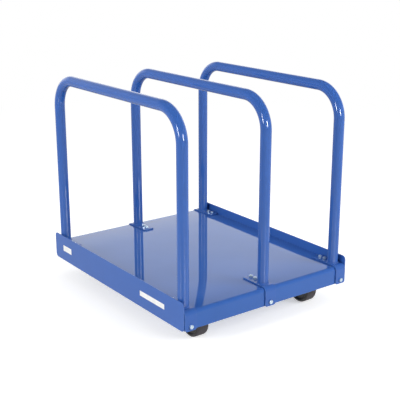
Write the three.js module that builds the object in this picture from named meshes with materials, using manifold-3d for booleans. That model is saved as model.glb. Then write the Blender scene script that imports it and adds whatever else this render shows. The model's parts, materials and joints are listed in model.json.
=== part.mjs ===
// Sheet goods cart: a folded steel deck on four casters, with three tube hoops that part two bays for sheets.
// Millimetres, Z up, floor at Z = 0. X runs across the hoops, Y along them, and the origin is under the middle.

import * as THREE from 'three';
import { mergeVertices } from 'three/addons/utils/BufferGeometryUtils.js';
import Module from 'manifold-3d';

const wasm = await Module();
wasm.setup();

// Clearances
const SEAT_GAP = 0.1; // paint film between two seated flat faces
const HOLE_PLAY = 0.5; // radial play of a bolt in its hole
const RUN_GAP = 0.3; // between pieces that turn on each other
const END_GAP = 0.5; // between an end foot and its end plate
const SWING_CLEAR = 7; // from a turning caster wheel to the skirt
const SIDE_CLEAR = 23; // from a turning caster wheel to the end plate

// Deck and end plates
const DECK_LENGTH = 872; // over the outer faces of the two skirts
const DECK_WALL = 3;
const DECK_BEND = 13; // outer radius of the bend between deck and skirt
const SKIRT_DEPTH = 63.5; // from the deck's top face
const END_WALL = 3;
const END_OVERHANG = 1; // end plate past the skirt at each end
const END_ABOVE = 33.5; // lip above the deck's top face
const END_BELOW_SKIRT = 3; // end plate below the skirt's bottom edge
const END_CORNER = 14;

// Hoops
const TUBE_OD = 38.1;
const TUBE_WALL = 2.1;
const HOOP_SPACING = 334; // centre to centre
const HOOP_RISE = 661; // deck's top face to the top of the bar
const HOOP_BEND = 108; // radius of the centre line
const LEG_SETBACK = 6; // tube's surface to the start of the foot's bend

// Feet of the hoops
const FOOT_MARGIN = 3.45; // foot past the tube on each side
const FOOT_WALL = 4.8;
const FOOT_END = 16; // inner bolt to the foot's inner end
const FOOT_BOLT_CLEAR = 22; // tube's surface to the outer bolt
const FOOT_BOLT_PITCH = 23;
const TAB_OVERHANG = 2; // tab below the skirt's bottom edge
const TAB_CORNER = 8;
const TAB_BOLT_RISE = 13; // tab bolt above the skirt's bottom edge

// Bolts of the feet
const BOLT_DIAMETER = 8;
const BOLT_FLATS = 13;
const BOLT_HEAD = 5.3;
const BOLT_NUT = 6.5;
const BOLT_TIP = 1.5; // thread past the nut

// Casters
const WHEEL_DIAMETER = 101.6;
const WHEEL_WIDTH = 48;
const WHEEL_SHOULDER = 8; // radius between tread and side
const WHEEL_RIM = 11; // tread to the dished side
const WHEEL_HUB = 40; // diameter of the raised hub
const WHEEL_DISH = 6; // depth of the dished side
const SLEEVE_DIAMETER = 20; // bearing sleeve that the wheel turns on
const AXLE_DIAMETER = 12;
const AXLE_FLATS = 19;
const AXLE_HEAD = 7.5;
const AXLE_NUT = 10;
const AXLE_TIP = 3;
const WHEEL_SIDE_GAP = 3; // wheel to fork leg
const FORK_WALL = 5;
const FORK_EYE = 17; // radius of the leg's end about the axle
const FORK_BASE = 6;
const FORK_LEG_TOP = 64; // length of the leg along Y at its top
const PLATE_WALL = 6;
const PLATE_LENGTH = 114;
const PLATE_WIDTH = 102;
const PLATE_CORNER = 8;
const RACE_HEIGHT = 7;
const RACE_OUTER = 76;
const RACE_INNER = 44;
const KINGPIN_DIAMETER = 16;
const KINGPIN_FLATS = 24;
const KINGPIN_NUT = 10;
const KINGPIN_TIP = 2;
const KINGPIN_CLEAR = 6.5; // top of the wheel to the kingpin's tip
const TRAIL = 34; // kingpin axis to the swivel wheel's axle

// Facets of the round faces
const TUBE_SIDES = 16;
const BORE_SIDES = 8;
const BEND_STEPS = 8;
const ARC_STEPS = 2;
const EYE_STEPS = 4;
const SHOULDER_STEPS = 3;
const WHEEL_SIDES = 24;
const RACE_SIDES = 24;
const PIN_SIDES = 12;
const HOLE_SIDES = 16;
const BOLT_SIDES = 8;

// Levels and places worked out from the sizes above
const swingRadius = Math.hypot(TRAIL + WHEEL_DIAMETER / 2, WHEEL_WIDTH / 2);
const kingpinZ = WHEEL_DIAMETER + KINGPIN_CLEAR;
const kingpinNutZ = kingpinZ + KINGPIN_TIP;
const forkBaseZ = kingpinNutZ + KINGPIN_NUT + RUN_GAP;
const raceZ = forkBaseZ + FORK_BASE + RUN_GAP;
const plateZ = raceZ + RACE_HEIGHT + SEAT_GAP;
const deckUnderZ = plateZ + PLATE_WALL + SEAT_GAP;
const deckZ = deckUnderZ + DECK_WALL;
const skirtY = DECK_LENGTH / 2;
const skirtZ = deckZ - SKIRT_DEPTH;
const legY = skirtY - DECK_BEND - LEG_SETBACK - TUBE_OD / 2;
const footZ = deckZ + SEAT_GAP;
const footTopZ = footZ + FOOT_WALL;
const tabY = skirtY + SEAT_GAP;
const tabOuterY = tabY + FOOT_WALL;
const tabZ = skirtZ - TAB_OVERHANG;
const tabBoltZ = skirtZ + TAB_BOLT_RISE;
const outerBoltY = legY - TUBE_OD / 2 - FOOT_BOLT_CLEAR;
const innerBoltY = outerBoltY - FOOT_BOLT_PITCH;
const footInnerY = innerBoltY - FOOT_END;
const footWidth = TUBE_OD + 2 * FOOT_MARGIN;
const endInnerX = HOOP_SPACING + footWidth / 2 + END_GAP;
const endY = skirtY + END_OVERHANG;
const casterX = endInnerX - SIDE_CLEAR - swingRadius;
const casterY = skirtY - DECK_WALL - SWING_CLEAR - swingRadius;
const axleZ = WHEEL_DIAMETER / 2;
const legInnerX = WHEEL_WIDTH / 2 + WHEEL_SIDE_GAP;
const legOuterX = legInnerX + FORK_WALL;

// Finishes
const bluePaint = { color: 0x4b67b4, roughness: 0.25, metalness: 0.1 };
const zinc = { color: 0xc9d2d8, roughness: 0.35, metalness: 0.9 };
const blackRubber = { color: 0x33302e, roughness: 0.7, metalness: 0 };
const bearingSteel = { color: 0x9aa0a6, roughness: 0.3, metalness: 1 };

const cart = new THREE.Group();

// Gives a geometry a name and its own material and hangs it in a group.
function addMesh(group, name, geometry, finish) {
  const mesh = new THREE.Mesh(geometry, new THREE.MeshStandardMaterial(finish));
  mesh.name = name;
  group.add(mesh);
}

// Turns a closed geometry into a solid for cutting and joining.
function solidOf(geometry) {
  const bare = geometry.clone();
  bare.deleteAttribute('normal');
  bare.deleteAttribute('uv');
  const merged = mergeVertices(bare);
  const vertProperties = new Float32Array(merged.attributes.position.array);
  const triVerts = new Uint32Array(merged.index.array);
  return new wasm.Manifold(new wasm.Mesh({ numProp: 3, vertProperties, triVerts }));
}

// Turns a solid back into a geometry.
function geometryOf(solid) {
  const mesh = solid.getMesh();
  const geometry = new THREE.BufferGeometry();
  geometry.setAttribute('position', new THREE.BufferAttribute(mesh.vertProperties, 3));
  geometry.setIndex(new THREE.BufferAttribute(mesh.triVerts, 1));
  return geometry;
}

function join(first, ...others) {
  return geometryOf(others.reduce((whole, part) => whole.add(solidOf(part)), solidOf(first)));
}

function cut(body, ...tools) {
  return geometryOf(tools.reduce((rest, tool) => rest.subtract(solidOf(tool)), solidOf(body)));
}

const alongX = new THREE.Matrix4().makeBasis(
  new THREE.Vector3(0, 1, 0),
  new THREE.Vector3(0, 0, 1),
  new THREE.Vector3(1, 0, 0)
);
const alongY = new THREE.Matrix4().makeBasis(
  new THREE.Vector3(0, 0, 1),
  new THREE.Vector3(1, 0, 0),
  new THREE.Vector3(0, 1, 0)
);

// Extrudes an outline by a length from the plane where the third coordinate is start.
function prism(shape, start, length, curveSegments = ARC_STEPS) {
  const geometry = new THREE.ExtrudeGeometry(shape, { depth: length, bevelEnabled: false, curveSegments });
  return geometry.translate(0, 0, start);
}

// An outline in (y, z), extruded along X.
function prismX(shape, start, length, curveSegments) {
  return prism(shape, start, length, curveSegments).applyMatrix4(alongX);
}

// An outline in (z, x), extruded along Y.
function prismY(shape, start, length) {
  return prism(shape, start, length).applyMatrix4(alongY);
}

// The corners of a regular polygon about the origin, the first one on the outline's first axis.
function corners(radius, sides) {
  return Array.from({ length: sides }, (_, corner) => {
    const angle = (corner / sides) * 2 * Math.PI;
    return new THREE.Vector2(radius * Math.cos(angle), radius * Math.sin(angle));
  });
}

const disc = (diameter, sides) => new THREE.Shape(corners(diameter / 2, sides));
const hexagon = (flats) => new THREE.Shape(corners(flats / 2 / Math.cos(Math.PI / 6), 6));

// An outline with a round hole through its middle.
function holed(shape, diameter, sides) {
  shape.holes.push(new THREE.Path(corners(diameter / 2, sides)));
  return shape;
}

// A rectangle with round corners about the origin.
function roundedRectangle(width, height, radius) {
  const halfWidth = width / 2;
  const halfHeight = height / 2;
  const shape = new THREE.Shape();
  shape.moveTo(-halfWidth + radius, -halfHeight);
  shape.absarc(halfWidth - radius, -halfHeight + radius, radius, -Math.PI / 2, 0);
  shape.absarc(halfWidth - radius, halfHeight - radius, radius, 0, Math.PI / 2);
  shape.absarc(-halfWidth + radius, halfHeight - radius, radius, Math.PI / 2, Math.PI);
  shape.absarc(-halfWidth + radius, -halfHeight + radius, radius, Math.PI, 1.5 * Math.PI);
  shape.closePath();
  return shape;
}

// Deck: one sheet folded down at front and rear into skirts, with holes for the bolts of the feet.
function deckGeometry() {
  const bendY = skirtY - DECK_BEND;
  const bendZ = deckZ - DECK_BEND;
  const innerBend = DECK_BEND - DECK_WALL;
  const profile = new THREE.Shape();
  profile.moveTo(skirtY - DECK_WALL, skirtZ);
  profile.lineTo(skirtY, skirtZ);
  profile.absarc(bendY, bendZ, DECK_BEND, 0, Math.PI / 2);
  profile.absarc(-bendY, bendZ, DECK_BEND, Math.PI / 2, Math.PI);
  profile.lineTo(-skirtY, skirtZ);
  profile.lineTo(-skirtY + DECK_WALL, skirtZ);
  profile.absarc(-bendY, bendZ, innerBend, Math.PI, Math.PI / 2, true);
  profile.absarc(bendY, bendZ, innerBend, Math.PI / 2, 0, true);
  profile.closePath();
  const halfWidth = endInnerX - SEAT_GAP;
  const sheet = prismX(profile, -halfWidth, 2 * halfWidth);
  const holes = [];
  for (const hoopX of [-HOOP_SPACING, 0, HOOP_SPACING]) {
    for (const side of [-1, 1]) {
      for (const boltY of [innerBoltY, outerBoltY]) {
        const drill = prism(boltHole(), deckUnderZ - DECK_WALL, 3 * DECK_WALL);
        holes.push(drill.translate(hoopX, side * boltY, 0));
      }
      const drill = prismY(boltHole(), -1.5 * DECK_WALL, 3 * DECK_WALL);
      holes.push(drill.translate(hoopX, side * (skirtY - DECK_WALL / 2), tabBoltZ));
    }
  }
  return cut(sheet, ...holes);
}

function boltHole() {
  return disc(BOLT_DIAMETER + 2 * HOLE_PLAY, BOLT_SIDES);
}

// End plate: a flat plate along the deck's end, standing above it as a lip and hiding the skirt's end.
function endPlateGeometry() {
  const top = deckZ + END_ABOVE;
  const bottom = skirtZ - END_BELOW_SKIRT;
  const outline = roundedRectangle(2 * endY, top - bottom, END_CORNER);
  return prismX(outline, endInnerX, END_WALL).translate(0, 0, (top + bottom) / 2);
}

// Centre line of a hoop, with one station at each leg's base and evenly turned stations round each bend.
class HoopLine extends THREE.Curve {
  constructor(baseZ) {
    super();
    const bendY = legY - HOOP_BEND;
    const bendZ = deckZ + HOOP_RISE - TUBE_OD / 2 - HOOP_BEND;
    const turns = Array.from({ length: BEND_STEPS + 1 }, (_, step) => (step / BEND_STEPS) * (Math.PI / 2));
    const around = (centreY, angle) => ({
      point: new THREE.Vector3(0, centreY - HOOP_BEND * Math.cos(angle), bendZ + HOOP_BEND * Math.sin(angle)),
      tangent: new THREE.Vector3(0, Math.sin(angle), Math.cos(angle))
    });
    this.stations = [
      { point: new THREE.Vector3(0, -legY, baseZ), tangent: new THREE.Vector3(0, 0, 1) },
      ...turns.map((turn) => around(-bendY, turn)),
      ...turns.map((turn) => around(bendY, Math.PI / 2 + turn)),
      { point: new THREE.Vector3(0, legY, baseZ), tangent: new THREE.Vector3(0, 0, -1) }
    ];
  }

  station(t) {
    return this.stations[Math.round(t * (this.stations.length - 1))];
  }

  getPoint(t) {
    return this.station(t).point.clone();
  }

  getPointAt(t) {
    return this.getPoint(t);
  }

  getTangentAt(t) {
    return this.station(t).tangent.clone();
  }
}

function hoopGeometry() {
  const line = new HoopLine(footTopZ + SEAT_GAP);
  const section = holed(disc(TUBE_OD, TUBE_SIDES), TUBE_OD - 2 * TUBE_WALL, BORE_SIDES);
  return new THREE.ExtrudeGeometry(section, { steps: line.stations.length - 1, extrudePath: line });
}

// Foot: a strip that lies on the deck under a leg and bends down over the skirt into a bolted tab.
function footGeometry() {
  const bendY = skirtY - DECK_BEND;
  const bendZ = deckZ - DECK_BEND;
  const innerBend = DECK_BEND + SEAT_GAP;
  const profile = new THREE.Shape();
  profile.moveTo(footInnerY, footZ);
  profile.absarc(bendY, bendZ, innerBend, Math.PI / 2, 0, true);
  profile.lineTo(tabY, tabZ);
  profile.lineTo(tabOuterY, tabZ);
  profile.absarc(bendY, bendZ, innerBend + FOOT_WALL, 0, Math.PI / 2);
  profile.lineTo(footInnerY, footTopZ);
  profile.closePath();
  const strip = prismX(profile, -footWidth / 2, footWidth);
  const height = 2 * (footTopZ - tabZ);
  const front = roundedRectangle(height, footWidth, TAB_CORNER);
  const frame = prismY(front, footInnerY - FOOT_WALL, tabOuterY - footInnerY + 2 * FOOT_WALL);
  frame.translate(0, 0, tabZ + height / 2);
  const rounded = geometryOf(solidOf(strip).intersect(solidOf(frame)));
  const drills = [innerBoltY, outerBoltY].map((boltY) =>
    prism(boltHole(), footZ - FOOT_WALL, 3 * FOOT_WALL).translate(0, boltY, 0)
  );
  drills.push(prismY(boltHole(), tabY - FOOT_WALL, 3 * FOOT_WALL).translate(0, 0, tabBoltZ));
  return cut(rounded, ...drills);
}

// Hex bolt along Z with its nut: the head stands on the plane at zero, and the grip that the bolt clamps lies
// below it.
function boltGeometry(grip) {
  const head = prism(hexagon(BOLT_FLATS), SEAT_GAP, BOLT_HEAD);
  const length = grip + 2 * SEAT_GAP + BOLT_NUT + BOLT_TIP;
  const shank = prism(disc(BOLT_DIAMETER, BOLT_SIDES), -length + SEAT_GAP, length + BOLT_HEAD / 2);
  const nut = prism(hexagon(BOLT_FLATS), -grip - SEAT_GAP - BOLT_NUT, BOLT_NUT);
  return join(head, shank, nut);
}

// Caster wheel about X, with dished sides, a raised hub and a bore for its bearing sleeve.
function wheelGeometry() {
  const tread = WHEEL_DIAMETER / 2;
  const half = WHEEL_WIDTH / 2;
  const bore = SLEEVE_DIAMETER / 2 + RUN_GAP;
  const shoulder = (side) =>
    Array.from({ length: SHOULDER_STEPS + 1 }, (_, step) => {
      const angle = (step / SHOULDER_STEPS) * (Math.PI / 2);
      const radius = tread - WHEEL_SHOULDER + WHEEL_SHOULDER * Math.sin(angle);
      return new THREE.Vector2(radius, side * (half - WHEEL_SHOULDER + WHEEL_SHOULDER * Math.cos(angle)));
    });
  const side = (sign) => [
    new THREE.Vector2(bore, sign * half),
    new THREE.Vector2(WHEEL_HUB / 2, sign * half),
    new THREE.Vector2(WHEEL_HUB / 2 + WHEEL_DISH / 2, sign * (half - WHEEL_DISH)),
    new THREE.Vector2(tread - WHEEL_RIM - WHEEL_DISH / 2, sign * (half - WHEEL_DISH)),
    ...shoulder(sign)
  ];
  const profile = [...side(-1), ...side(1).reverse(), new THREE.Vector2(bore, -half)];
  const stretch = 1 / Math.cos(Math.PI / WHEEL_SIDES);
  const wheel = new THREE.LatheGeometry(profile, WHEEL_SIDES, Math.PI / WHEEL_SIDES);
  return wheel.scale(stretch, 1, stretch).rotateZ(-Math.PI / 2);
}

// Fork leg in (y, z): straight sides that run from the top edge to the round end about the axle.
function legOutline(axleY, topZ) {
  const halfTop = FORK_LEG_TOP / 2;
  const tangent = (y, side) => {
    const reach = Math.hypot(y - axleY, topZ - axleZ);
    return Math.atan2(topZ - axleZ, y - axleY) + side * Math.acos(FORK_EYE / reach);
  };
  const outline = new THREE.Shape();
  outline.moveTo(-halfTop, topZ);
  outline.absarc(axleY, axleZ, FORK_EYE, tangent(-halfTop, 1), tangent(halfTop, -1) + 2 * Math.PI);
  outline.lineTo(halfTop, topZ);
  outline.closePath();
  return outline;
}

function forkLegs(axleY, topZ) {
  const outline = legOutline(axleY, topZ);
  return [-legOuterX, legInnerX].map((start) => prismX(outline, start, FORK_WALL, EYE_STEPS));
}

function axleHole(axleY) {
  const hole = prismX(disc(AXLE_DIAMETER + 2 * HOLE_PLAY, HOLE_SIDES), -2 * legOuterX, 4 * legOuterX);
  return hole.translate(0, axleY, axleZ);
}

function topPlate(bottomZ, height) {
  return prism(roundedRectangle(PLATE_WIDTH, PLATE_LENGTH, PLATE_CORNER), bottomZ, height);
}

// Wheel with its bearing sleeve, axle bolt and axle nut, in a group at the axle.
function addWheelSet(group, prefix, suffix, axleY) {
  const set = new THREE.Group();
  addMesh(set, `${prefix}_wheel_${suffix}`, wheelGeometry(), blackRubber);
  const sleeveHalf = legInnerX - RUN_GAP;
  const sleeve = holed(disc(SLEEVE_DIAMETER, HOLE_SIDES), AXLE_DIAMETER + 2 * RUN_GAP, PIN_SIDES);
  addMesh(set, `${prefix}_sleeve_${suffix}`, prismX(sleeve, -sleeveHalf, 2 * sleeveHalf), bearingSteel);
  const headX = -legOuterX - SEAT_GAP;
  const nutX = legOuterX + SEAT_GAP;
  const tipX = nutX + AXLE_NUT + AXLE_TIP;
  const head = prismX(hexagon(AXLE_FLATS), headX - AXLE_HEAD, AXLE_HEAD);
  const pin = prismX(disc(AXLE_DIAMETER, PIN_SIDES), headX - AXLE_HEAD / 2, tipX - headX + AXLE_HEAD / 2);
  addMesh(set, `${prefix}_axle_${suffix}`, join(head, pin), zinc);
  const nut = holed(hexagon(AXLE_FLATS), AXLE_DIAMETER + 2 * RUN_GAP, PIN_SIDES);
  addMesh(set, `${prefix}_axle_nut_${suffix}`, prismX(nut, nutX, AXLE_NUT), zinc);
  set.position.set(0, axleY, axleZ);
  group.add(set);
}

// Rigid caster: plate and legs are one bracket, held flat under the deck.
function addRigidCaster(suffix, x) {
  const group = new THREE.Group();
  const topZ = deckUnderZ - SEAT_GAP;
  const plate = topPlate(topZ - PLATE_WALL, PLATE_WALL);
  const legs = forkLegs(0, topZ - PLATE_WALL / 2);
  const bracket = cut(join(plate, ...legs), axleHole(0));
  addMesh(group, `rigid_bracket_${suffix}`, bracket, zinc);
  addWheelSet(group, 'rigid', suffix, 0);
  group.position.set(x, -casterY, 0);
  cart.add(group);
}

// Swivel caster: a plate with its kingpin, a ball race, and a fork that turns on them with its wheel.
function addSwivelCaster(suffix, x) {
  const group = new THREE.Group();
  const pin = prism(disc(KINGPIN_DIAMETER, PIN_SIDES), kingpinZ, plateZ + PLATE_WALL / 2 - kingpinZ);
  addMesh(group, `swivel_plate_${suffix}`, join(topPlate(plateZ, PLATE_WALL), pin), zinc);
  const race = holed(disc(RACE_OUTER, RACE_SIDES), RACE_INNER, HOLE_SIDES);
  addMesh(group, `swivel_race_${suffix}`, prism(race, raceZ, RACE_HEIGHT), bearingSteel);
  const baseShape = roundedRectangle(2 * legOuterX, FORK_LEG_TOP, PLATE_CORNER);
  const base = prism(baseShape, forkBaseZ, FORK_BASE);
  const seat = prism(disc(RACE_OUTER, RACE_SIDES), forkBaseZ, FORK_BASE);
  const pinDisc = disc(KINGPIN_DIAMETER + 2 * HOLE_PLAY, HOLE_SIDES);
  const pinHole = prism(pinDisc, forkBaseZ - FORK_BASE, 3 * FORK_BASE);
  const legs = forkLegs(-TRAIL, forkBaseZ + FORK_BASE / 2);
  const fork = cut(join(base, seat, ...legs), pinHole, axleHole(-TRAIL));
  addMesh(group, `swivel_fork_${suffix}`, fork, zinc);
  const nut = holed(hexagon(KINGPIN_FLATS), KINGPIN_DIAMETER + 2 * RUN_GAP, HOLE_SIDES);
  addMesh(group, `kingpin_nut_${suffix}`, prism(nut, kingpinNutZ, KINGPIN_NUT), zinc);
  addWheelSet(group, 'swivel', suffix, -TRAIL);
  group.position.set(x, casterY, 0);
  cart.add(group);
}

// One hoop with its two feet and their bolts. A foot bolt has its nut on top, and a tab bolt its head outside.
function addHoop(name, x) {
  const group = new THREE.Group();
  addMesh(group, `hoop_${name}`, hoopGeometry(), bluePaint);
  const footGrip = footTopZ - deckUnderZ;
  const tabGrip = tabOuterY - skirtY + DECK_WALL;
  for (const end of ['front', 'rear']) {
    const half = new THREE.Group();
    addMesh(half, `foot_${name}_${end}`, footGeometry(), bluePaint);
    for (const [place, boltY] of [['inner', innerBoltY], ['outer', outerBoltY]]) {
      const bolt = boltGeometry(footGrip).rotateX(Math.PI).translate(0, boltY, deckUnderZ);
      addMesh(half, `foot_bolt_${name}_${end}_${place}`, bolt, zinc);
    }
    const tabBolt = boltGeometry(tabGrip).rotateX(-Math.PI / 2).translate(0, tabOuterY, tabBoltZ);
    addMesh(half, `tab_bolt_${name}_${end}`, tabBolt, zinc);
    half.rotation.z = end === 'front' ? Math.PI : 0;
    group.add(half);
  }
  group.position.x = x;
  cart.add(group);
}

addMesh(cart, 'deck', deckGeometry(), bluePaint);
for (const [name, turn] of [['right', 0], ['left', Math.PI]]) {
  const end = new THREE.Group();
  addMesh(end, `end_plate_${name}`, endPlateGeometry(), bluePaint);
  end.rotation.z = turn;
  cart.add(end);
}
for (const [name, place] of [['left', -1], ['middle', 0], ['right', 1]]) addHoop(name, place * HOOP_SPACING);
for (const [name, side] of [['left', -1], ['right', 1]]) {
  addRigidCaster(name, side * casterX);
  addSwivelCaster(name, side * casterX);
}

export default cart;
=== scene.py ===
import json
import math

import bpy
import numpy as np
from mathutils import Matrix, Vector

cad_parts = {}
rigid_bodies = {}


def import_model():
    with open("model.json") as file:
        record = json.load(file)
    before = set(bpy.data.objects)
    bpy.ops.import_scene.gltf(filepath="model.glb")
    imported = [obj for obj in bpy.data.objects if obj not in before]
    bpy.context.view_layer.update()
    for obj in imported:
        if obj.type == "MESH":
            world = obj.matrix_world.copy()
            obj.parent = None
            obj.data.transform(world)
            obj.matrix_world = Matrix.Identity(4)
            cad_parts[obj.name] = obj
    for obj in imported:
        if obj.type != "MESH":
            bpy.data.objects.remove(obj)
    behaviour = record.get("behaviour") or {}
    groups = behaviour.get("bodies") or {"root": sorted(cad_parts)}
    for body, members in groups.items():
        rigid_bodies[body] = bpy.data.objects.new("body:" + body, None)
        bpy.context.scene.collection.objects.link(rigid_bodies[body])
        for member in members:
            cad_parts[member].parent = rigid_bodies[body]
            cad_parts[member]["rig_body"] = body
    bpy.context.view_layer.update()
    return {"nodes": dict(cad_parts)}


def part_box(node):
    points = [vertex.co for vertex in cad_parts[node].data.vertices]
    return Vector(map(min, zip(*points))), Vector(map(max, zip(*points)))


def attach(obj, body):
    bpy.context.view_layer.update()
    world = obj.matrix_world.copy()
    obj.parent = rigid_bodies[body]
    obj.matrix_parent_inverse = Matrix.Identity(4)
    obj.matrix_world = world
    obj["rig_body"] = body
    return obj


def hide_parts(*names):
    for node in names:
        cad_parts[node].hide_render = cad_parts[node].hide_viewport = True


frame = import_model()

# Sheet goods cart: a folded blue deck on four casters, with three tube hoops that part two bays for sheets.
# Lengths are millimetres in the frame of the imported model, and become metres when a mesh is made.

MM = 0.001
TURN = 2 * np.pi
HOLD = 0.4  # strip beside an arc that keeps the flat next to it flat when shaded
FINE_HOLD = 0.15  # the same on pieces turned on a lathe
SHARP = math.radians(33)  # edges that turn more than this stay sharp

SIDES = (("left", -1), ("right", 1))
ENDS = (("front", -1), ("rear", 1))
HOOPS = ("left", "middle", "right")

# Deck and end plates
DECK_WALL = 3
DECK_BEND = 13
SHEET_EDGE = 0.7  # radius that paint and deburring give to a cut edge
DECK_RINGS = 9
END_CORNER = 14

# Hoops and their feet
TUBE_RADIUS = 19.05
TUBE_SIDES = 64
HOOP_BEND = 108
BEND_STEPS = 28
FOOT_WALL = 4.8
TAB_CORNER = 8

# Welds: a size is how far the bead reaches along its two faces
PUDDLE_SWELL = 0.16  # how much a bead swells at each puddle
PUDDLE_LEVEL = 0.7  # taken off the swell, so that the mean size is about one
WELD_ROOT = -0.12  # how deep a bead sits in its corner, as a share of its size
RING_WELD = (3.0, 3.9)
RING_PUDDLES = 34
RING_STEPS = 8 * RING_PUDDLES
STITCH_WELD = (4.2, 4.2)
STITCH_PLACES = (-270, -90, 90, 270)  # middles of the stitches under the deck
STITCH_HALF = 22
STITCH_STEPS = 67
STITCH_RIPPLE = 3.3
STITCH_TAPER = 6
SKIRT_STITCH_DROP = 4  # below the middle of the skirt's inside
LEG_WELD = (3.4, 3.4)
LEG_WELD_RIPPLE = 3.0
LEG_WELD_TAPER = 5
LEG_WELD_INSET = 2  # from the leg's edge
LEG_WELD_STEPS = 73

# Fasteners
BOLT_RADIUS = 4
BOLT_FLATS = 13
BOLT_HEAD = 5.3
BOLT_NUT = 6.5
BOLT_TIP = 1.5
BOLT_PITCH = 1.25
BOLT_BORE = BOLT_RADIUS + 0.1
SPANNER_STEP = 0.61  # radians from one bolt's turn to the next one's
STUD_SPAN = (82, 92)
STUD_TURN = 0.4
AXLE_RADIUS = 6
AXLE_FLATS = 19
AXLE_HEAD = 7.5
AXLE_HEAD_TURN = 0.35
AXLE_NUT = 10
AXLE_NUT_TURN = 0.2
AXLE_COLLAR = 3.2  # locking ring on top of the axle's nut
AXLE_TIP = 3
AXLE_RUNOUT = 2  # thread behind the nut
AXLE_PITCH = 1.75
AXLE_BORE = AXLE_RADIUS + 0.2
KINGPIN_RADIUS = 8
KINGPIN_FLATS = 24
KINGPIN_PITCH = 2.0
KINGPIN_BORE = KINGPIN_RADIUS + 0.2
KINGPIN_NUT_TURN = 0.3
SEAT_GAP = 0.1
HEX_SIDES = 72
HEX_CIRCLE = 0.475  # radius of a hexagon's end face, as a share of its flats
HEX_HOLD = 0.6  # strip inside the end face that keeps it flat when shaded
WASHER_FACE = 0.3
NUT_SINK = 0.8  # how much wider the bore is at a nut's faces
NUT_SINK_DEPTH = 0.5
COLLAR_RADIUS = 0.44  # as a share of the flats
THREAD_SIDES = 36
THREAD_RINGS = 8  # rings in one turn
THREAD_OVERLAP = 1.0  # how far behind a face its thread starts
BAR_SIDES = 24
BAR_OVERLAP = 0.5  # how far a plain bar runs into its thread

# Casters
WHEEL_RADIUS = 50.8
WHEEL_HALF = 24
WHEEL_SIDES = 128
HUB_RADIUS = 20
DISH_RADII = (23, 36.8)
DISH_DEPTH = 6
RIM_RADIUS = 42.3
CROWN_DROP = 0.3  # fall of the tread from its middle to its shoulders
CROWN_HALF = 8
SIDE_SHADE_TO_TREAD_GRIME = (4.5, 3.5)  # the sides' painted shade gives way to the grimy tread from this far inside the tread, fully after this much more
SLEEVE_RADIUS = 10
SLEEVE_ROUND = 0.5
SLEEVE_SIDES = 48
RUN_GAP = 0.3  # between the wheel, its sleeve and the axle
FORK_WALL = 5
FORK_EYE = 17
LEG_INNER = 27
LEG_TOP = 64
LEG_CORNER = 2
LEG_EDGE = 1.0
PLATE_WALL = 6
PLATE_CORNER = 8
PLATE_EDGE = 0.8
RACE_RADIUS = 38
RACE_HOLLOW = 22
RACE_ROUND = 0.35
RACE_SIDES = 96
RACE_GROOVE_HALF = 0.9
RACE_GROOVE_DEPTH = 1.6
TABLE_CORNER = 42  # furthest corner of the fork's table from the kingpin
TABLE_HOLE = KINGPIN_RADIUS + 0.5
TABLE_SIDES = 120
TABLE_ROUND = ((1.4, 0), (0.3, 0.3), (0, 1))  # inset and height of the rings round the table's edge
TABLE_SINK = 0.6  # chamfer of its hole

# Blank labels on the left end plate: name, place along Y, drop below the deck's top, width and height
LABELS = (
    ("end_plate_small_label", 341.8, 15.3, 64, 23),
    ("end_plate_long_label", -253, 16.3, 148, 18.5),
)
LABEL_CORNER = 1.5
LABEL_PROUD = 0.22  # before the plate's face
LABEL_SUNK = 0.05  # behind it
LABEL_EDGE = 0.1


def spot(name):
    """Lowest and highest corner of a CAD node, in millimetres."""
    low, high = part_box(name)
    return np.array(low) / MM, np.array(high) / MM


# Mesh making


def laid(axis, first, second, third):
    """Points from three coordinates, the third of which runs along the named axis and the others along the
    two axes that follow it."""
    parts = np.broadcast_arrays(first, second, third)
    order = {"x": (2, 0, 1), "y": (1, 2, 0), "z": (0, 1, 2)}[axis]
    return np.stack([parts[i] for i in order], axis=-1).astype(float)


def spanned(a, b, c):
    """Six times the volume under triangles seen from the origin: first corner dot the cross of the others."""
    return np.einsum("ij,ij->", a, np.cross(b, c))


def block(rings, wrap=False, edge=0.0):
    """One closed skin over a grid of rings: each quad joins two neighbours of one ring to the same two of
    the next. Flat caps close the first and last ring, or the rings wrap round. A skin that encloses a
    negative volume is turned. Returns the points, the quads, the caps and a weight per point."""
    rows, columns = rings.shape[:2]
    index = np.arange(rows * columns).reshape(rows, columns)
    start = index if wrap else index[:-1]
    stop = np.roll(index, -1, axis=0) if wrap else index[1:]
    corners = [start, np.roll(start, -1, axis=1), np.roll(stop, -1, axis=1), stop]
    quads = np.stack(corners, axis=-1).reshape(-1, 4)
    caps = [] if wrap else [index[0][::-1], index[-1]]
    points = rings.reshape(-1, 3)
    middle = points.mean(axis=0)
    a, b, c, d = (points[quads[:, i]] - middle for i in range(4))
    volume = spanned(a, b, c) + spanned(a, c, d)
    for cap in caps:
        fan = points[cap] - middle
        volume += spanned(np.broadcast_to(fan[0], fan[1:-1].shape), fan[1:-1], fan[2:])
    if volume < 0:
        quads = quads[:, ::-1]
        caps = [cap[::-1] for cap in caps]
    return points, quads, caps, np.broadcast_to(edge, (rows, columns)).reshape(-1)


def put_in_scene(name, data):
    """An object that holds the given mesh, lamp or camera, linked to the scene."""
    made = bpy.data.objects.new(name, data)
    bpy.context.scene.collection.objects.link(made)
    return made


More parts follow.
